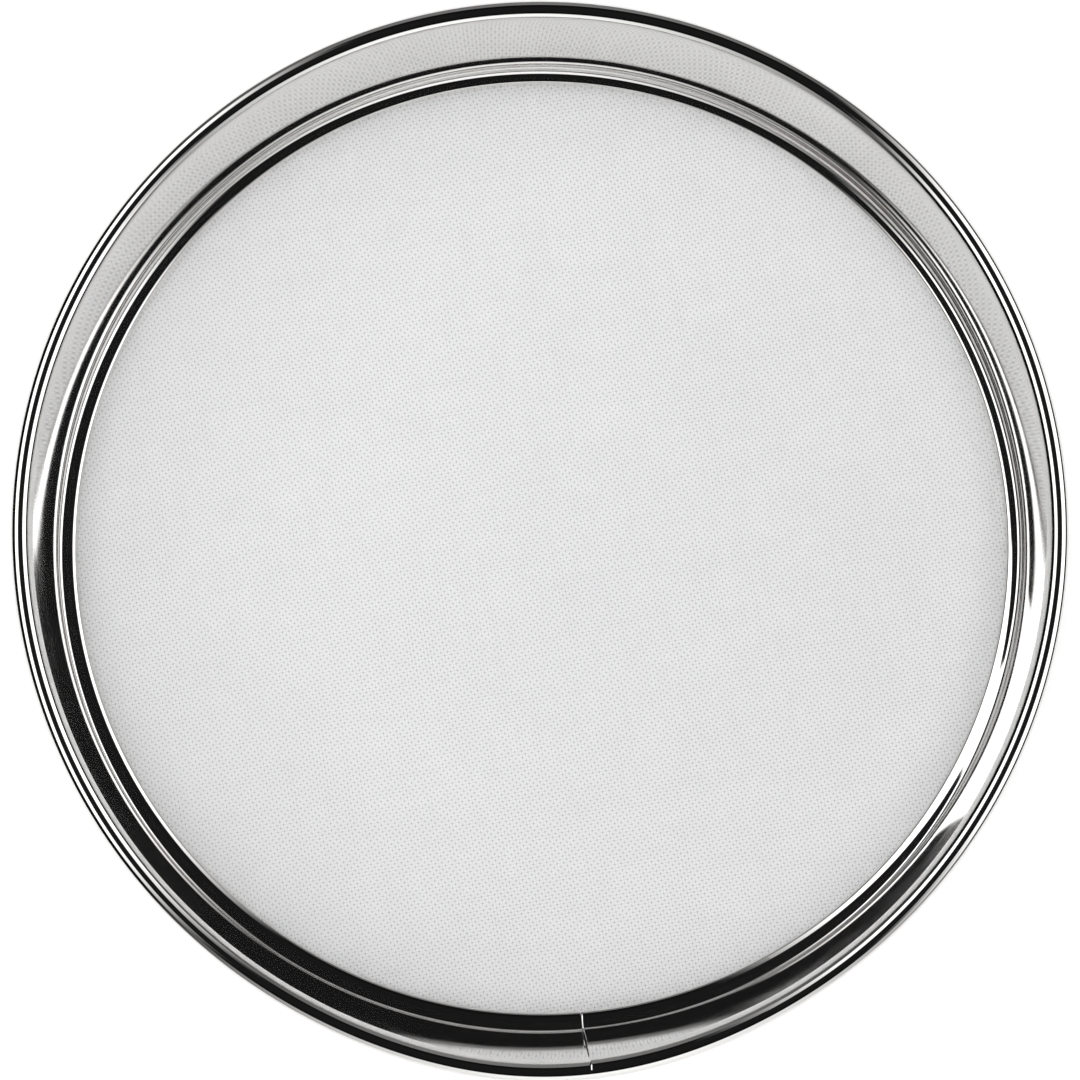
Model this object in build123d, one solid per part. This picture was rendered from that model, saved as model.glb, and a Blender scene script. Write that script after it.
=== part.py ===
from build123d import *
import os
from math import ceil, cos, degrees, pi, radians, sin, sqrt

# A tamis: a drum sieve with a sheet-steel band and a flat woven cloth near its foot.
# Millimetres, +Z up, origin on the table at the drum's axis, lap seam at the front (-Y).
# The bends of the sheet and the wires are drawn in flats, fine enough for fit and weight.

# Drum as a whole
rim_outer_diameter = 300.0
drum_height = 70.0
sheet_thickness = 0.6
fit_clearance = 0.1

# Rim: the sheet's top edge rolled outwards round a wire
rim_roll_diameter = 5.7
rim_roll_turn = 315.0
rim_wire_diameter = 3.6

# Bead: pressed inwards all round, low on the wall, as a flat ledge with a round nose
bead_depth = 4.9
bead_height = 2.8
upper_fillet = 1.8
lower_fillet = 1.2

# Foot: the sheet's bottom edge rolled inwards, with a flat to stand on
foot_roll_height = 3.6
foot_flat_width = 0.9
foot_edge_gap = 0.3

# Lap seam: the inner end of the sheet lies over the outer end, then runs out into the band
lap_length = 12.0
lap_runout_length = 24.0
lap_runout_step = 0.08
lap_azimuth = 274.8

# Hoop that holds the cloth up against the bead
mesh_hoop_diameter = 3.0

# Butt gaps between the two ends of each wire hoop
wire_butt_gap = 1.0
rim_wire_butt_azimuth = 171.3
mesh_hoop_butt_azimuth = 95.0

# Cloth: its pitch is coarser than the real one, with the same metal in its lands
cloth_thickness = 0.6
cloth_pitch = 19.0
real_cloth_pitch = 1.0
real_cloth_wire_diameter = 0.3
cloth_turn = 9.5
smallest_gap_share = 0.12

# Flats in each bend
rim_roll_flats = 7
bead_quarter_flats = 2
fillet_flats = 1
foot_bend_flats = 2
foot_fold_flats = 3
wire_flats = 6
lap_runout_flats = 3

# A turn all the way round
full_turn = 360.0

# Radii and heights that follow from the sizes above
rim_roll_radius = rim_roll_diameter / 2
wall_inner_radius = rim_outer_diameter / 2 - rim_roll_diameter
wall_top = drum_height - rim_roll_radius
foot_roll_radius = foot_roll_height / 2
foot_arc_radius = wall_inner_radius + sheet_thickness - foot_roll_radius
foot_inner_arc_radius = foot_arc_radius - foot_flat_width
mesh_hoop_radius = wall_inner_radius - fit_clearance - mesh_hoop_diameter / 2
mesh_hoop_height = foot_roll_height + fit_clearance + mesh_hoop_diameter / 2
cloth_bottom = mesh_hoop_height + mesh_hoop_diameter / 2 + fit_clearance
cloth_top = cloth_bottom + cloth_thickness
cloth_radius = wall_inner_radius - lower_fillet
bead_nose_radius = bead_height / 2
bead_bottom = cloth_top + fit_clearance
bead_top = bead_bottom + bead_height

# Centres of the section's bends, as (radius, height)
rim_centre = (wall_inner_radius + rim_roll_radius, wall_top)
bead_nose_centre = (wall_inner_radius - bead_depth + bead_nose_radius, bead_bottom + bead_nose_radius)
upper_fillet_centre = (wall_inner_radius - upper_fillet, bead_top + upper_fillet)
lower_fillet_centre = (wall_inner_radius - lower_fillet, bead_bottom - lower_fillet)
foot_outer_centre = (foot_arc_radius, foot_roll_radius)
foot_inner_centre = (foot_inner_arc_radius, foot_roll_radius)


def bend(centre, radius, start, turn, flats):
    """The corners of a bend in flats, from a start angle through a signed turn, in degrees."""
    angles = [radians(start + turn * step / flats) for step in range(flats + 1)]
    return [(centre[0] + radius * cos(angle), centre[1] + radius * sin(angle)) for angle in angles]


def rim_surface(depth):
    """The rolled rim at a depth below the sheet's inside face, from its raw edge to the wall."""
    return bend(rim_centre, rim_roll_radius - depth, 180 - rim_roll_turn, rim_roll_turn, rim_roll_flats)


def wall_surface(depth):
    """The wall and the upper half of the bead, to the tip of its nose."""
    fillet = bend(upper_fillet_centre, upper_fillet + depth, 0, -90, fillet_flats)
    nose = bend(bead_nose_centre, bead_nose_radius - depth, 90, 90, bead_quarter_flats)
    return [(wall_inner_radius + depth, wall_top)] + fillet + nose


def skirt_surface(depth):
    """The lower half of the bead, the skirt and the rolled foot, to its raw edge."""
    roll = foot_roll_radius - sheet_thickness + depth
    nose = bend(bead_nose_centre, bead_nose_radius - depth, 180, 90, bead_quarter_flats)
    fillet = bend(lower_fillet_centre, lower_fillet + depth, 90, -90, fillet_flats)
    outer_bend = bend(foot_outer_centre, roll, 0, -90, foot_bend_flats)
    fold = bend(foot_inner_centre, roll, 270, -180, foot_fold_flats)
    raw_edge = (wall_inner_radius - foot_edge_gap, foot_roll_radius + roll)
    return nose + fillet + outer_bend + fold + [raw_edge]


def whole_surface(depth):
    return rim_surface(depth) + wall_surface(depth)[1:] + skirt_surface(depth)[1:]


def sheet_section(surface, near, far):
    """The face between two depths of a surface, in the XZ plane."""
    return Plane.XZ * make_face(Polyline(surface(near) + surface(far)[::-1], close=True))


def turned(face, start, sweep):
    """A face in the XZ plane, carried round the drum's axis."""
    return revolve(Rot(0, 0, start) * face, axis=Axis.Z, revolution_arc=sweep)


def make_drum_band():
    band = turned(sheet_section(whole_surface, 0, sheet_thickness), lap_azimuth, full_turn)
    lap_turn = degrees(lap_length / wall_inner_radius)
    runout_turn = degrees(lap_runout_length / wall_inner_radius)
    buried = sheet_thickness / 2
    lap = turned(sheet_section(wall_surface, -sheet_thickness, buried), lap_azimuth, lap_turn)
    stations = []
    for step in range(lap_runout_flats + 1):
        share = step / lap_runout_flats
        proud = sheet_thickness + share * (lap_runout_step - sheet_thickness)
        section = sheet_section(wall_surface, -proud, buried)
        stations.append(Rot(0, 0, lap_azimuth + lap_turn + share * runout_turn) * section)
    return band + lap + loft(stations, ruled=True)


def make_wire_hoop(centre, diameter, butt_azimuth):
    """A wire bent to a hoop, with a small gap where its ends meet."""
    gap = degrees(wire_butt_gap / centre[0])
    section = Plane.XZ * (Pos(*centre) * RegularPolygon(diameter / 2, wire_flats))
    return turned(section, butt_azimuth + gap / 2, full_turn - gap)


def make_sieve_mesh():
    """One holed disc whose square gaps stand for the woven ones."""
    real_metal = 2 * (pi * real_cloth_wire_diameter**2 / 4) / real_cloth_pitch
    open_share = 1 - real_metal / cloth_thickness
    gap = cloth_pitch * sqrt(open_share)
    open_radius = wall_inner_radius - bead_depth
    across = 2 * ceil(open_radius / cloth_pitch) + 1
    squares = Rot(0, 0, cloth_turn) * GridLocations(cloth_pitch, cloth_pitch, across, across)
    near = [place for place in squares if place.position.length < open_radius + gap]
    holes = Sketch() + [place * Rectangle(gap, gap) for place in near]
    holes = Circle(open_radius) & holes
    kept = [hole for hole in holes.faces() if hole.area > smallest_gap_share * gap**2]
    print("gaps in the cloth:", len(kept))
    cloth = Circle(cloth_radius) - kept
    return Pos(0, 0, cloth_bottom) * extrude(cloth, cloth_thickness)


parts = {
    "drum_band": make_drum_band(),
    "rim_wire": make_wire_hoop(rim_centre, rim_wire_diameter, rim_wire_butt_azimuth),
    "mesh_hoop": make_wire_hoop((mesh_hoop_radius, mesh_hoop_height), mesh_hoop_diameter, mesh_hoop_butt_azimuth),
    "sieve_mesh": make_sieve_mesh(),
}

os.makedirs("parts", exist_ok=True)
for name, part in parts.items():
    export_step(part, f"parts/{name}.step")
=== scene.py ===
import bpy
from collections import namedtuple
from math import ceil, cos, degrees, pi, radians, sin
from mathutils import Matrix, Vector


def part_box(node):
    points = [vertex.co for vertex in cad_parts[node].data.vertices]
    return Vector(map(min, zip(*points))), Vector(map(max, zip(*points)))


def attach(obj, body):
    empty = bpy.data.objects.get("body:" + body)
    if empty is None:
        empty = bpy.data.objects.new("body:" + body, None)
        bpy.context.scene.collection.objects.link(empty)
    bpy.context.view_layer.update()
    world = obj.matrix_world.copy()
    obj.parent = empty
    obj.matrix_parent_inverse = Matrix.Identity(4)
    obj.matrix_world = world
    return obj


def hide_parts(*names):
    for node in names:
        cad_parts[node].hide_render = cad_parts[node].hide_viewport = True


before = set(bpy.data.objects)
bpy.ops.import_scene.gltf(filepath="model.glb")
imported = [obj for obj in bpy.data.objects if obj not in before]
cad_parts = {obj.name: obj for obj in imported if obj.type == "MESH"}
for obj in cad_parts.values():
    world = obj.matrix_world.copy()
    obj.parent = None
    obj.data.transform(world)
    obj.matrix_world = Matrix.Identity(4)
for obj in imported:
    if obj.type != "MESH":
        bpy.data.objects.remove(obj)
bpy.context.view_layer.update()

# Lengths in metres and azimuths in degrees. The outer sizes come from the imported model
mm = 0.001
band_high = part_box("drum_band")[1]
hoop_low, hoop_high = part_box("mesh_hoop")
cloth_low, cloth_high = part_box("sieve_mesh")
rim_outer_radius = band_high.x
drum_height = band_high.z

# Sheet: rolled rim, wall, bead and rolled foot
sheet_thickness = 0.6 * mm
rim_roll_radius = 2.85 * mm
rim_roll_turn = 315.0
bead_depth = 4.9 * mm
bead_thickness = 3.1 * mm
tip_turn = 60.0
lower_fillet = 1.2 * mm
foot_roll_radius = 1.8 * mm
foot_flat_width = 0.9 * mm
foot_edge_gap = 0.3 * mm
wall_radius = rim_outer_radius - 2 * rim_roll_radius
bead_clearance = 0.1 * mm
bead_bottom = cloth_high.z + bead_clearance
bead_top = bead_bottom + bead_thickness
rim_height = drum_height - rim_roll_radius

# How finely the section's bends and runs are drawn, and the band all round
rim_steps = 44
wall_steps = 12
fillet_steps = 16
crown_steps = 12
tip_steps = 10
under_tip_steps = 8
foot_bend_steps = 6
foot_fold_steps = 10
band_segments = 370

# Lap seam at the front: the inner end stands proud by a step, leans a little and then runs out
lap_azimuth = 274.8
lap_length = 12.0 * mm
lap_runout = 60.0 * mm
lap_step = 0.4 * mm
lap_end_step = -0.05 * mm
lap_sink = 0.03 * mm
lap_slant_turn = 0.6
lap_slant_height = 50.0 * mm
lap_slant = radians(lap_slant_turn) / lap_slant_height
lap_segments = 96
past_crown_share = 0.3

# Wire hoops
hoop_points = 361
hoop_sides = 24
rim_wire_diameter = 3.6 * mm
rim_wire_azimuth = 171.3
mesh_hoop_diameter = 3.0 * mm
mesh_hoop_azimuth = 95.0
wire_butt_gap = 1.0 * mm

# The cloth, woven in four bands each way
wire_pitch = 1.0 * mm
wire_thickness = 0.3 * mm
wire_sides = 4
cloth_turn = 9.5
inner_band_lines = 40

# Painted light on the cloth: the brightness of a warp and a weft wire where it passes over and where it
# passes under, with a painted glint where a warp wire lies on top and painted shade where a weft wire
# does, which makes the cloth's diagonal shimmer, with faint streaks along the wires that are partly uneven
# wire and partly painted sheen
over_painted_light = (1.0, 0.66)
under_painted_light = (0.68, 1.0)
streak_length = 40.0 * mm
streak_step = 0.45
streak_depth = 0.16
streak_detail = 1.0
woven_metallic = 0.3
woven_roughness = 0.45

# The bead's upper side changes round the drum, from tight at the seam to a wide sweep at the back
BeadShape = namedtuple("BeadShape", "fillet tip crown")
seam_bead = BeadShape(fillet=0.8 * mm, tip=1.3 * mm, crown=5.0 * mm)
back_bead = BeadShape(fillet=3.6 * mm, tip=0.8 * mm, crown=0.8 * mm)
back_bead_azimuth = 80.0
back_bead_sharpness = 1.5
tip_start = wall_radius - bead_depth + seam_bead.tip

# Where the bead was pressed least flat
tilt_azimuth = 338.0
tilt_slope = 0.325
tilt_narrowness = 23.0

# How far the rim stands in from a true circle: the wall springs open at the lap seam and
# opposite it, and stands in at the sides
rim_stands_in = 2.37 * mm
rim_off_centre = 1.56 * mm
off_centre_azimuth = 271.0
rim_oval = 1.16 * mm
oval_azimuth = 1.2
rim_three_sided = 0.36 * mm
three_sided_azimuth = 332.8
seam_peak = 2.05 * mm
seam_peak_azimuth = 272.0
seam_peak_width = 20.0

# How the lean grows from the foot of the wall up to the rim, and how far that foot has shifted
lean_power = 1.5
foot_shift = 0.75 * mm
foot_shift_azimuth = 240.0

# Points closer than this are one point
merge_distance = 0.002 * mm


class Value:
    """A socket of a node tree, with the arithmetic that the trees here use."""

    def __init__(self, tree, socket):
        self.tree = tree
        self.socket = socket

    def maths(self, operation, *others, clamp=False):
        settings = {"operation": operation, "use_clamp": clamp}
        out = self.tree.add("ShaderNodeMath", settings, [self, *others])
        return out.out()

    def __add__(self, other):
        return self.maths("ADD", other)

    def __radd__(self, other):
        return self.maths("ADD", other)

    def __sub__(self, other):
        return self.maths("SUBTRACT", other)

    def __rsub__(self, other):
        return (self * -1.0) + other

    def __mul__(self, other):
        return self.maths("MULTIPLY", other)

    def __rmul__(self, other):
        return self.maths("MULTIPLY", other)

    def __truediv__(self, other):
        return self.maths("DIVIDE", other)

    def __pow__(self, other):
        return self.maths("POWER", other)

    def clamped(self):
        return self.maths("ADD", 0.0, clamp=True)


class Step:
    """One node, whose outputs are read by name or number."""

    def __init__(self, tree, node):
        self.tree = tree
        self.node = node

    def out(self, key=0):
        return Value(self.tree, self.node.outputs[key])


class Tree:
    """A node tree under construction, for a material or for Geometry Nodes."""

    def __init__(self, node_tree):
        self.node_tree = node_tree

    def add(self, kind, settings, inputs=()):
        """A node of that kind: its settings first, then the values or links of its sockets."""
        node = self.node_tree.nodes.new(kind)
        for name, setting in settings.items():
            setattr(node, name, setting)
        pairs = inputs.items() if isinstance(inputs, dict) else enumerate(inputs)
        for key, value in pairs:
            socket = node.inputs[key]
            if isinstance(value, Value):
                self.node_tree.links.new(value.socket, socket)
            else:
                socket.default_value = value
        return Step(self, node)


class Recipe(Tree):
    """A Geometry Nodes tree with named inputs, run once on a mesh and then removed."""

    def __init__(self, name):
        group = bpy.data.node_groups.new(name, "GeometryNodeTree")
        super().__init__(group)
        group.interface.new_socket("Geometry", in_out="INPUT", socket_type="NodeSocketGeometry")
        group.interface.new_socket("Geometry", in_out="OUTPUT", socket_type="NodeSocketGeometry")
        self.sizes = {}
        self.source = self.add("NodeGroupInput", {})

    def size(self, name, value):
        kind = "NodeSocketInt" if isinstance(value, int) else "NodeSocketFloat"
        socket = self.node_tree.interface.new_socket(name, in_out="INPUT", socket_type=kind)
        self.sizes[socket.identifier] = value
        return self.source.out(name)

    def finish(self, geometry, finish, seed_mesh, name):
        """Realizes the geometry in its material and returns it as a plain mesh object."""
        real = self.add("GeometryNodeRealizeInstances", {}, [geometry]).out()
        dressed = self.add("GeometryNodeSetMaterial", {}, {"Geometry": real, "Material": finish}).out()
        self.add("NodeGroupOutput", {}, [dressed])
        maker = new_object(name + "_maker", seed_mesh)
        modifier = maker.modifiers.new("recipe", "NODES")
        modifier.node_group = self.node_tree
        for identifier, value in self.sizes.items():
            modifier[identifier] = value
        evaluated = maker.evaluated_get(bpy.context.evaluated_depsgraph_get())
        mesh = bpy.data.meshes.new_from_object(evaluated)
        bpy.data.objects.remove(maker)
        mesh.name = name
        return new_object(name, mesh)


def new_object(name, data):
    made = bpy.data.objects.new(name, data)
    bpy.context.scene.collection.objects.link(made)
    return made


def place(piece, node):
    """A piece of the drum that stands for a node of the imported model."""
    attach(piece, "root")
    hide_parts(node)
    return piece


# The section of the sheet, as (radius, height) with the direction out of the drum's inside face
def bend(centre, radius, start, turn, steps, faces_in):
    """Points round a bend. The inside face looks away from the centre, or to it where faces_in."""
    points = []
    for step in range(steps + 1):
        angle = radians(start + turn * step / steps)
        across, up = cos(angle), sin(angle)
        sign = -1.0 if faces_in else 1.0
        points.append((centre[0] + radius * across, centre[1] + radius * up, sign * across, sign * up))
    return points


def rim_surface():
    centre = (wall_radius + rim_roll_radius, rim_height)
    return bend(centre, rim_roll_radius, 180 - rim_roll_turn, rim_roll_turn, rim_steps, False)


def wall_surface(bead):
    """The wall, the fillet under it and the upper half of the bead, to its tip."""
    foot = bead_top + bead.fillet
    rises = [rim_height + (foot - rim_height) * step / wall_steps for step in range(wall_steps + 1)]
    wall = [(wall_radius, height, -1.0, 0.0) for height in rises]
    fillet = bend((wall_radius - bead.fillet, foot), bead.fillet, 0, -90, fillet_steps, True)
    beyond = bead.crown - bead.tip
    tip_radius = wall_radius - bead_depth + bead.tip
    crown_centre = (tip_radius + beyond * cos(radians(tip_turn)), bead_top - bead.crown)
    tip_centre = (tip_radius, crown_centre[1] + beyond * sin(radians(tip_turn)))
    crown = bend(crown_centre, bead.crown, 90, 90 - tip_turn, crown_steps, False)
    tip = bend(tip_centre, bead.tip, 180 - tip_turn, tip_turn, tip_steps, False)
    return wall + fillet[1:] + crown + tip[1:]


def skirt_surface(bead):
    """The lower half of the bead, the skirt and the rolled foot, to its raw edge."""
    tip_centre = (wall_radius - bead_depth + bead.tip, bead_bottom + bead.tip)
    tip = bend(tip_centre, bead.tip, 180, 90, under_tip_steps, False)
    fillet_centre = (wall_radius - lower_fillet, bead_bottom - lower_fillet)
    fillet = bend(fillet_centre, lower_fillet, 90, -90, foot_bend_steps, True)
    foot_radius = wall_radius + sheet_thickness - foot_roll_radius
    roll = foot_roll_radius - sheet_thickness
    outer_bend = bend((foot_radius, foot_roll_radius), roll, 0, -90, foot_bend_steps, True)
    fold = bend((foot_radius - foot_flat_width, foot_roll_radius), roll, 270, -180, foot_fold_steps, True)
    edge = (wall_radius - foot_edge_gap, foot_roll_radius + roll, 0.0, -1.0)
    return tip + fillet + outer_bend + fold + [edge]


def rise_share(radius, height, out_radius, out_height):
    """How much of the lap's step a point takes: all on the wall, none at the rim's crown or the tip."""
    if height > rim_height:
        return max(0.0, -out_radius)
    if radius < wall_radius - seam_bead.fillet:
        return max(0.0, out_height)
    return 1.0


def closed_section(surface, near, far):
    """A loop of points round the sheet, between two depths under its inside face."""
    inside = []
    outside = []
    for radius, height, across, up in surface:
        rise = rise_share(radius, height, across, up)
        inside.append((radius - near * across, height - near * up, across, up, rise))
        outside.append((radius - far * across, height - far * up, across, up, 0.0))
    return inside + outside[::-1] + inside[:1]


def section_mesh(name, section, back_section):
    """The section at the seam as loose points, with their directions and their places at the back."""
    mesh = bpy.data.meshes.new(name)
    mesh.from_pydata([(point[0], 0.0, point[1]) for point in section], [], [])
    out = mesh.attributes.new("out", "FLOAT_VECTOR", "POINT")
    out.data.foreach_set("vector", [part for point in section for part in (point[2], 0.0, point[3])])
    back = mesh.attributes.new("back", "FLOAT_VECTOR", "POINT")
    back.data.foreach_set(
        "vector", [part for point in back_section for part in (point[0], 0.0, point[1])]
    )
    inner = mesh.attributes.new("inner", "FLOAT", "POINT")
    inner.data.foreach_set("value", [point[4] for point in section])
    return mesh


# How the sheet stands off its true form
def stands_in(angle):
    """How far the rim is pressed in at an angle round the axis, in metres."""
    off_centre = (angle - radians(off_centre_azimuth)).maths("COSINE") * rim_off_centre
    oval = ((angle - radians(oval_azimuth)) * 2.0).maths("COSINE") * rim_oval
    three_sided = ((angle - radians(three_sided_azimuth)) * 3.0).maths("COSINE") * rim_three_sided
    from_peak = (angle - radians(seam_peak_azimuth)) / radians(seam_peak_width)
    peak = (from_peak * from_peak * -1.0).maths("EXPONENT") * seam_peak
    return off_centre + oval + three_sided - peak + rim_stands_in


def lean_share(height):
    """How much of the rim's lean a height on the sheet takes: none up to the bead, all at the rim."""
    return ((height - bead_top) / (rim_height - bead_top)).clamped() ** lean_power


def above_cloth_share(height):
    """None up to the cloth, all from the bead's top."""
    return ((height - bead_bottom) / bead_thickness).clamped()


def leaned(radius, height, angle):
    """A radius on the sheet as it has sprung: a little at the foot of the wall, more up to the rim."""
    lean = lean_share(height)
    behind_tip = ((radius - tip_start) / (wall_radius - tip_start)).clamped()
    shift = (angle - radians(foot_shift_azimuth)).maths("COSINE") * foot_shift
    sprung = shift * behind_tip * above_cloth_share(height)
    return radius + sprung * (1.0 - lean) - lean * stands_in(angle)


def tilted(radius, height, angle):
    """A height on the sheet, raised where the bead was pressed less flat."""
    behind_tip = (radius - tip_start).maths("MAXIMUM", 0.0)
    aside = (angle - radians(tilt_azimuth)).maths("COSINE") - 1.0
    near = (aside * tilt_narrowness).maths("EXPONENT")
    lift = near * tilt_slope * behind_tip
    return height + lift * above_cloth_share(height) * (1.0 - lean_share(height))


def sweep_round(
    name, section, back_section, thickness, start, sweep, segments, proud=0.0, hold=0.0, slant=0.0
):
    """The section carried round the axis, changing on the way to its form at the back.

    A lap's inside face stands proud over the share of its length in hold, and then runs out.
    """
    recipe = Recipe(name + "_recipe")
    start_angle = recipe.size("start", radians(start))
    sweep_angle = recipe.size("sweep", radians(sweep))
    last = recipe.size("segments", segments)
    lift = recipe.size("proud", proud)
    rows = len(section)
    corners = recipe.source.out("Geometry")
    grid = recipe.add("GeometryNodeMeshGrid", {}, {"Vertices X": last + 1.0, "Vertices Y": rows})
    index = recipe.add("GeometryNodeInputIndex", {}).out()
    column = (index / float(rows)).maths("FLOOR")
    row = index - column * float(rows)

    def sampled(kind, field):
        return recipe.add(
            "GeometryNodeSampleIndex", {"data_type": kind, "domain": "POINT"},
            {"Geometry": corners, "Value": field, "Index": row}
        ).out()

    def stored(kind, name):
        return recipe.add("GeometryNodeInputNamedAttribute", {"data_type": kind}, [name]).out()

    def parts_of(field):
        return recipe.add("ShaderNodeSeparateXYZ", {}, [sampled("FLOAT_VECTOR", field)])

    point = parts_of(recipe.add("GeometryNodeInputPosition", {}).out())
    back = parts_of(stored("FLOAT_VECTOR", "back"))
    out = parts_of(stored("FLOAT_VECTOR", "out"))
    inner = sampled("FLOAT", stored("FLOAT", "inner"))
    if proud:
        cap = column.maths("LESS_THAN", 0.5).maths("MAXIMUM", column.maths("GREATER_THAN", last - 0.5))
        share = ((column - 1.0) / (last - 2.0)).clamped()
        run_out = ((share - hold) / (1.0 - hold)).clamped()
        risen = lift - run_out * (lift - lap_end_step)
        moved = inner * (risen * (1.0 - cap) - cap * thickness) - lap_sink
    else:
        share = column / last
        moved = inner * 0.0
    angle = start_angle + sweep_angle * share
    facing_back = (angle - radians(back_bead_azimuth)).maths("COSINE") * 0.5 + 0.5
    to_back = facing_back ** back_bead_sharpness
    radius = point.out("X") + (back.out("X") - point.out("X")) * to_back + moved * out.out("X")
    height = point.out("Z") + (back.out("Z") - point.out("Z")) * to_back + moved * out.out("Z")
    if slant:
        angle = angle + (height - bead_top) * (1.0 - share) * slant
    height = tilted(radius, height, angle)
    radius = leaned(radius, height, angle)
    spot = recipe.add(
        "ShaderNodeCombineXYZ", {}, [radius * angle.maths("COSINE"), radius * angle.maths("SINE"), height]
    ).out()
    placed = recipe.add(
        "GeometryNodeSetPosition", {}, {"Geometry": grid.out("Mesh"), "Position": spot}
    ).out()
    merged = recipe.add(
        "GeometryNodeMergeByDistance", {}, {"Geometry": placed, "Distance": merge_distance}
    ).out()
    smooth = recipe.add("GeometryNodeSetShadeSmooth", {}, {"Geometry": merged, "Shade Smooth": True}).out()
    seed = section_mesh(name + "_section", section, back_section)
    return place(recipe.finish(smooth, polished_band, seed, name), "drum_band")


def wire_hoop(name, node, radius, height, diameter, butt_azimuth, leans):
    """A wire bent to a hoop, with a small gap where its ends meet.

    It takes the share in leans of the rim's standing in from a true circle.
    """
    recipe = Recipe(name + "_recipe")
    gap = wire_butt_gap / radius
    arc = recipe.add(
        "GeometryNodeCurveArc", {"mode": "RADIUS"},
        {"Resolution": hoop_points, "Radius": recipe.size("radius", radius),
         "Start Angle": radians(butt_azimuth) + gap / 2, "Sweep Angle": 2 * pi - gap}
    ).out("Curve")
    place_on = recipe.add("ShaderNodeSeparateXYZ", {}, [recipe.add("GeometryNodeInputPosition", {}).out()])
    angle = place_on.out("Y").maths("ARCTAN2", place_on.out("X"))
    angle = angle + angle.maths("LESS_THAN", 0.0) * (2 * pi)
    reach = recipe.source.out("radius") - stands_in(angle) * leans
    spot = recipe.add(
        "ShaderNodeCombineXYZ", {}, [reach * angle.maths("COSINE"), reach * angle.maths("SINE"), height]
    ).out()
    path = recipe.add("GeometryNodeSetPosition", {}, {"Geometry": arc, "Position": spot}).out()
    ring = recipe.add(
        "GeometryNodeCurvePrimitiveCircle", {"mode": "RADIUS"},
        {"Resolution": hoop_sides, "Radius": recipe.size("wire_radius", diameter / 2)}
    ).out("Curve")
    tube = recipe.add(
        "GeometryNodeCurveToMesh", {}, {"Curve": path, "Profile Curve": ring, "Fill Caps": True}
    ).out()
    smooth = recipe.add("GeometryNodeSetShadeSmooth", {}, {"Geometry": tube, "Shade Smooth": True}).out()
    piece = recipe.finish(smooth, hoop_wire, bpy.data.meshes.new(name + "_seed"), name)
    return place(piece, node)


# Finishes
def new_material(name):
    material = bpy.data.materials.new(name)
    material.use_nodes = True
    material.node_tree.nodes.clear()
    return material, Tree(material.node_tree)


ripple_detail = 3.0


def metal(name, colour, roughness, ripple_size, ripple_depth, ripple_strength):
    """Bare steel: an even colour, a gloss that varies a little and a faint ripple from rolling."""
    material, tree = new_material(name)
    place_on = tree.add("ShaderNodeTexCoord", {}).out("Object")
    ripple = tree.add(
        "ShaderNodeTexNoise", {},
        {"Vector": place_on, "Scale": 1 / ripple_size, "Detail": ripple_detail}
    ).out(0)
    bump = tree.add(
        "ShaderNodeBump", {}, {"Strength": ripple_strength, "Distance": ripple_depth, "Height": ripple}
    ).out()
    rough = (ripple - 0.5) * roughness + roughness
    shader = tree.add(
        "ShaderNodeBsdfPrincipled", {},
        {"Base Color": colour, "Metallic": 1.0, "Roughness": rough, "Normal": bump}
    ).out()
    tree.add("ShaderNodeOutputMaterial", {}, [shader])
    return material


polished_band = metal(
    "polished_steel_sheet", colour=(0.81, 0.80, 0.79, 1.0), roughness=0.05,
    ripple_size=12 * mm, ripple_depth=0.05 * mm, ripple_strength=0.15
)
hoop_wire = metal(
    "drawn_steel_wire", colour=(0.62, 0.61, 0.60, 1.0), roughness=0.3,
    ripple_size=2 * mm, ripple_depth=0.05 * mm, ripple_strength=0.3
)


def woven_metal(name):
    """Steel wire in a weave, whose colour is painted light: a painted glint about the crossings where a
    warp wire lies on top, and painted shade where a weft wire does.
    """
    material, tree = new_material(name)
    painted_light = tree.add("ShaderNodeAttribute", {"attribute_name": "painted_light"}).out("Fac")
    shader = tree.add(
        "ShaderNodeBsdfPrincipled", {},
        {"Base Color": painted_light, "Metallic": woven_metallic, "Roughness": woven_roughness}
    ).out()
    tree.add("ShaderNodeOutputMaterial", {}, [shader])
    return material


woven_wire = woven_metal("woven_wire_painted_glint")

# The band, and the end of the sheet that laps over the other one inside it
buried = sheet_thickness / 2
past_crown = wall_radius + (1 + past_crown_share) * rim_roll_radius
band_sections = []
lap_sections = []
for bead in (seam_bead, back_bead):
    whole = rim_surface() + wall_surface(bead)[1:] + skirt_surface(bead)[1:]
    inner_crown = [point for point in rim_surface() if point[1] > rim_height and point[0] < past_crown]
    inner_half = inner_crown + wall_surface(bead)
    band_sections.append(closed_section(whole, 0.0, sheet_thickness))
    lap_sections.append(closed_section(inner_half, 0.0, buried))
sweep_round(
    "drum_band_sheet", *band_sections, thickness=sheet_thickness, start=0.0, sweep=360.0,
    segments=band_segments
)
lap_sweep = degrees((lap_length + lap_runout) / wall_radius)
lap_hold = lap_length / (lap_length + lap_runout)
sweep_round(
    "lapped_sheet_end", *lap_sections, thickness=buried, start=lap_azimuth, sweep=lap_sweep,
    segments=lap_segments, proud=lap_step, hold=lap_hold, slant=lap_slant
)

# The wire in the rim, and the hoop that holds the cloth up against the bead
rim_wire_radius = wall_radius + rim_roll_radius
mesh_hoop_height = (hoop_low.z + hoop_high.z) / 2
mesh_hoop_radius = hoop_high.x - mesh_hoop_diameter / 2
wire_hoop(
    "rim_wire_hoop", "rim_wire", rim_wire_radius, rim_height, rim_wire_diameter,
    rim_wire_azimuth, leans=1.0
)
wire_hoop(
    "cloth_hoop", "mesh_hoop", mesh_hoop_radius, mesh_hoop_height, mesh_hoop_diameter,
    mesh_hoop_azimuth, leans=0.0
)


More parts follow.
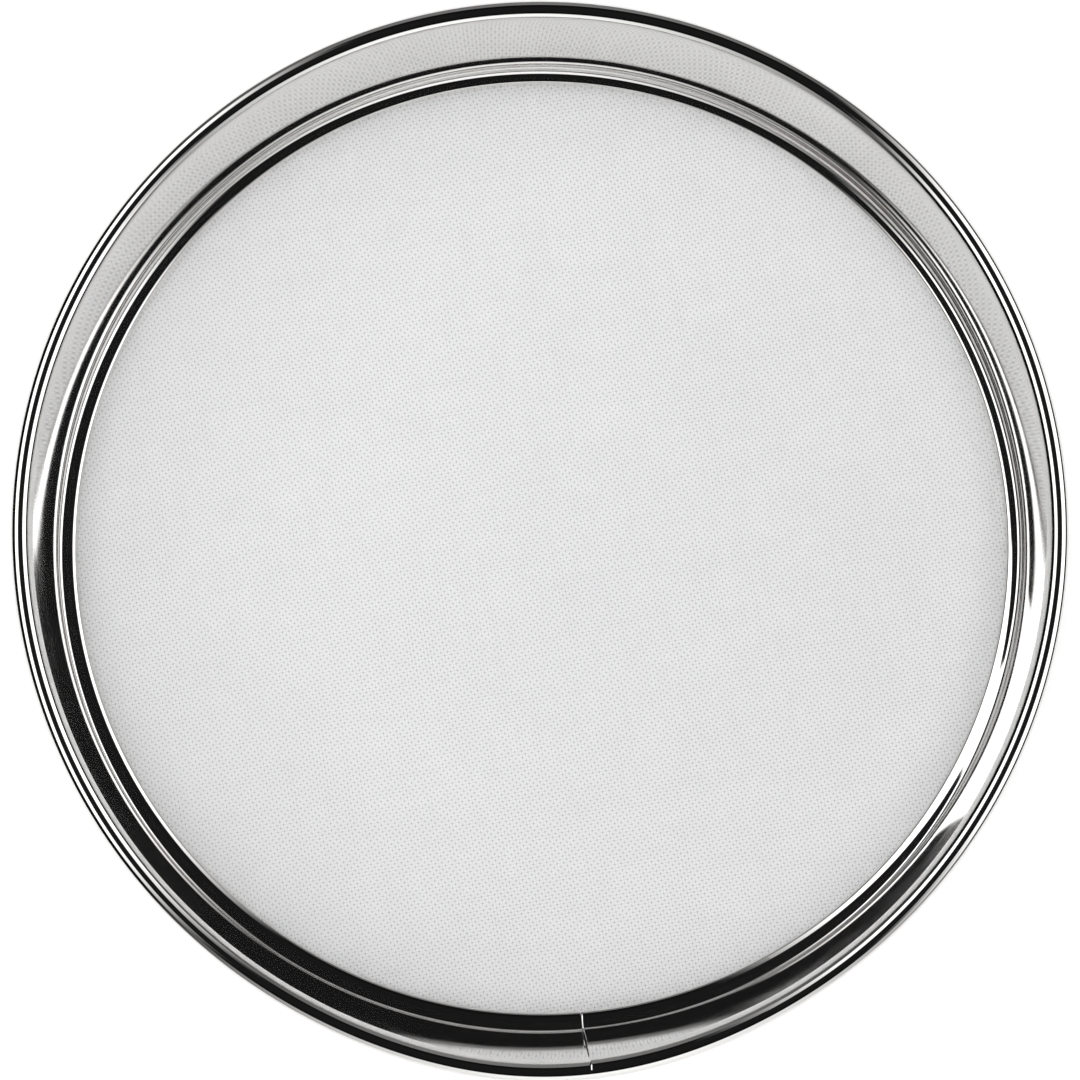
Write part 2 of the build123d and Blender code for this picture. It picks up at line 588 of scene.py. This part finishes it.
def weave(name, along, across_from, across_to):
    """Crimped wires that all run one way, over and under the wires that cross them."""
    radius = cloth_high.x
    count = ceil(radius / wire_pitch)
    recipe = Recipe(name + "_recipe")
    pitch = recipe.size("pitch", wire_pitch)
    thick = recipe.size("thickness", wire_thickness)
    lines = across_to - across_from + 1
    grid = recipe.add("GeometryNodeMeshGrid", {}, {"Vertices X": 2 * count + 1, "Vertices Y": lines})
    index = recipe.add("GeometryNodeInputIndex", {}).out()
    column = (index / float(lines)).maths("FLOOR")
    line = index - column * float(lines) + float(across_from)
    step = column - float(count)
    over = (step + line + float(along)).maths("FLOORED_MODULO", 2.0) * 2.0 - 1.0
    u = step * pitch
    v = line * pitch
    turn = radians(cloth_turn + 90.0 * along)
    x = u * cos(turn) - v * sin(turn)
    y = u * sin(turn) + v * cos(turn)
    z = over * thick * 0.5 + (cloth_low.z + cloth_high.z) / 2
    spot = recipe.add("ShaderNodeCombineXYZ", {}, [x, y, z]).out()
    placed = recipe.add(
        "GeometryNodeSetPosition", {}, {"Geometry": grid.out("Mesh"), "Position": spot}
    ).out()
    # Painted light: a glint painted where the warp wire lies on top of a crossing, and shade painted where
    # the weft wire does
    on_top = over * 0.5 + 0.5
    painted_light = on_top * (over_painted_light[along] - under_painted_light[along]) + under_painted_light[along]
    # Painted sheen, partly uneven wire: faint random streaks along each wire, as if the wires lay at
    # slightly different angles to the light
    beside = recipe.add(
        "ShaderNodeCombineXYZ", {}, [u / streak_length, line * streak_step, float(along) * streak_length]
    ).out()
    streak = recipe.add(
        "ShaderNodeTexNoise", {}, {"Vector": beside, "Scale": 1.0, "Detail": streak_detail}
    ).out(0)
    painted_light = painted_light * ((streak - 0.5) * streak_depth + 1.0)
    toned = recipe.add(
        "GeometryNodeStoreNamedAttribute", {"data_type": "FLOAT", "domain": "POINT"},
        {"Geometry": placed, "Name": "painted_light", "Value": painted_light}
    ).out()
    ends = recipe.add("GeometryNodeInputMeshEdgeVertices", {})
    first = ends.out("Vertex Index 1")
    second = ends.out("Vertex Index 2")
    apart = (first - second).maths("ABSOLUTE").maths("LESS_THAN", lines - 0.5)
    rows = recipe.add(
        "GeometryNodeDeleteGeometry", {"domain": "EDGE", "mode": "EDGE_FACE"},
        {"Geometry": toned, "Selection": apart}
    ).out()
    reach = (u * u + v * v).maths("GREATER_THAN", (radius - wire_thickness) ** 2)
    disc = recipe.add(
        "GeometryNodeDeleteGeometry", {"domain": "POINT"}, {"Geometry": rows, "Selection": reach}
    ).out()
    wires = recipe.add("GeometryNodeMeshToCurve", {}, {"Mesh": disc}).out()
    profile = recipe.add(
        "GeometryNodeCurvePrimitiveCircle", {"mode": "RADIUS"},
        {"Resolution": wire_sides, "Radius": thick * 0.5}
    ).out("Curve")
    tubes = recipe.add(
        "GeometryNodeCurveToMesh", {}, {"Curve": wires, "Profile Curve": profile, "Fill Caps": True}
    ).out()
    smooth = recipe.add("GeometryNodeSetShadeSmooth", {}, {"Geometry": tubes, "Shade Smooth": True}).out()
    piece = recipe.finish(smooth, woven_wire, bpy.data.meshes.new(name + "_seed"), name)
    return place(piece, "sieve_mesh")


last_line = ceil(cloth_high.x / wire_pitch)
line_bands = [
    (-last_line, -inner_band_lines - 1),
    (-inner_band_lines, 0),
    (1, inner_band_lines),
    (inner_band_lines + 1, last_line)
]
for along, word in enumerate(("warp", "weft")):
    for number, (low, high) in enumerate(line_bands):
        weave(f"{word}_wires_{number + 1}", along, low, high)


# The floor
floor_half = 6.0
floor_glow = 0.14
floor_roughness = 0.9
lamp_height = 2.0
lamp_falloff = -2.0


def white_sweep(name, colour):
    """A matt floor with a little glow that only the camera and the metal see.

    Far from the lamp the camera sees it glow more, so that the floor stays white to its edge.
    """
    material, tree = new_material(name)
    ray = tree.add("ShaderNodeLightPath", {})
    spot = tree.add("ShaderNodeSeparateXYZ", {}, [tree.add("ShaderNodeTexCoord", {}).out("Object")])
    away = spot.out("X") * spot.out("X") + spot.out("Y") * spot.out("Y")
    lit_share = (away / lamp_height ** 2 + 1.0) ** lamp_falloff
    far_glow = ray.out("Is Camera Ray") * (1.0 - lit_share)
    seen = ray.out("Is Camera Ray").maths("MAXIMUM", ray.out("Is Glossy Ray")) * floor_glow + far_glow
    shader = tree.add(
        "ShaderNodeBsdfPrincipled", {},
        {"Base Color": (*colour, 1.0), "Roughness": floor_roughness, "Specular IOR Level": 0.0,
         "Emission Color": seen, "Emission Strength": 1.0}
    ).out()
    tree.add("ShaderNodeOutputMaterial", {}, [shader])
    return material


def glowing(name):
    """A face that only glows, by its own attribute of that name."""
    material, tree = new_material(name)
    glow = tree.add("ShaderNodeAttribute", {"attribute_name": "glow"}).out("Color")
    shader = tree.add(
        "ShaderNodeBsdfPrincipled", {},
        {"Base Color": (0.0, 0.0, 0.0, 1.0), "Roughness": 1.0, "Specular IOR Level": 0.0,
         "Emission Color": glow, "Emission Strength": brightest_glow}
    ).out()
    tree.add("ShaderNodeOutputMaterial", {}, [shader])
    return material


floor_corners = [(x * floor_half, y * floor_half, 0.0) for x, y in ((-1, -1), (1, -1), (1, 1), (-1, 1))]
floor_mesh = bpy.data.meshes.new("floor")
floor_mesh.from_pydata(floor_corners, [], [(0, 1, 2, 3)])
floor_mesh.materials.append(white_sweep("white_floor", colour=(0.95, 0.95, 0.95)))
new_object("floor", floor_mesh)


def glossy_only(shell):
    """The shell shows in the metal but not to the camera, and casts no shade or light."""
    shell.visible_camera = False
    shell.visible_diffuse = False
    shell.visible_shadow = False
    shell.visible_transmission = False
    shell.visible_volume_scatter = False


# What the polished steel shows of the room. Elevations and azimuths in degrees: each soft shape
# glows evenly about its middle, then fades out to its spread
Glow = namedtuple("Glow", "low high middle even spread strength")
glows = [
    Glow(20, 60, 5, 25, 55, 1.8),
    Glow(36, 68, 170, 35, 60, 1.8),
    Glow(-9, 40, 277, 5, 60, 1.2),
    Glow(-9, 40, 90, 10, 60, 0.2),
    Glow(60, 95, 0, 180, 181, 0.005)
]
dark_glow = 0.006
brightest_glow = 2.0
edge_blur = 2.0


def smooth_share(value):
    share = min(1.0, max(0.0, value))
    return share * share * (3 - 2 * share)


def glow_at(elevation, azimuth):
    total = dark_glow
    for glow in glows:
        aside = abs((azimuth - glow.middle + 180) % 360 - 180)
        across = smooth_share((glow.spread - aside) / (glow.spread - glow.even))
        above = smooth_share((elevation - glow.low) / edge_blur + 0.5)
        below = smooth_share((glow.high - elevation) / edge_blur + 0.5)
        total += glow.strength * across * above * below
    return total / brightest_glow


dome_radius = 2.6
dome_low = -6
dome_high = 89.9
dome_columns = 180
dome_rows = 96
points = []
glow_values = []
faces = []
for column in range(dome_columns):
    azimuth = 360 * column / dome_columns
    for row in range(dome_rows + 1):
        elevation = dome_low + (dome_high - dome_low) * row / dome_rows
        level = dome_radius * cos(radians(elevation))
        rise = rim_height + dome_radius * sin(radians(elevation))
        points.append((level * cos(radians(azimuth)), level * sin(radians(azimuth)), rise))
        glow_values += [glow_at(elevation, azimuth)] * 3 + [1.0]
for column in range(dome_columns):
    for row in range(dome_rows):
        here = column * (dome_rows + 1) + row
        beside = (column + 1) % dome_columns * (dome_rows + 1) + row
        faces.append((here, beside, beside + 1, here + 1))
dome_mesh = bpy.data.meshes.new("room_dome")
dome_mesh.from_pydata(points, [], faces)
dome_mesh.attributes.new("glow", "FLOAT_COLOR", "POINT").data.foreach_set("color", glow_values)
dome_mesh.materials.append(glowing("room_dome_face"))
dome = new_object("room_dome", dome_mesh)
glossy_only(dome)


# Lamps
def area_light(name, location, size, power):
    data = bpy.data.lights.new(name, "AREA")
    data.shape = "RECTANGLE"
    data.size = size[0]
    data.size_y = size[1]
    data.energy = power
    lamp = new_object(name, data)
    lamp.location = location
    lamp.rotation_euler = (Vector((0, 0, 0)) - Vector(location)).to_track_quat("-Z", "Y").to_euler()
    lamp.visible_glossy = False
    return lamp


area_light("overhead_lamp", location=(0.0, 0.0, lamp_height), size=(0.9, 0.9), power=31)
area_light("right_lamp", location=(1.5, 0.0, 1.2), size=(1.6, 1.2), power=2)
area_light("left_lamp", location=(-1.1, 0.0, 1.5), size=(1.6, 1.2), power=6.5)

# The room lights softly, and is white to the camera
room_light = 0.15
world = bpy.data.worlds.new("pale_room")
bpy.context.scene.world = world
world.use_nodes = True
world.node_tree.nodes.clear()
room = Tree(world.node_tree)
seen_by_camera = room.add("ShaderNodeLightPath", {}).out("Is Camera Ray")
backdrop = room.add(
    "ShaderNodeBackground", {},
    {"Color": (1.0, 1.0, 1.0, 1.0), "Strength": seen_by_camera * (1.0 - room_light) + room_light}
).out()
room.add("ShaderNodeOutputWorld", {}, [backdrop])

# The camera hangs nearly over the middle of the drum
picture_width = 1080.0
focal_pixels = 2481.0
sensor_width = 36.0
camera_place = Vector((0.0070, -0.0261, 0.7530))
looked_at = Vector((0.0003, -0.0007, rim_height))
camera_data = bpy.data.cameras.new("camera")
camera_data.sensor_width = sensor_width
camera_data.lens = focal_pixels / picture_width * sensor_width
camera = new_object("camera", camera_data)
camera.location = camera_place
forward = (looked_at - camera_place).normalized()
right = forward.cross(Vector((0.0, 1.0, 0.0))).normalized()
camera.rotation_euler = Matrix((right, right.cross(forward), -forward)).transposed().to_euler()
bpy.context.scene.camera = camera
bpy.context.scene.view_settings.view_transform = "Standard"
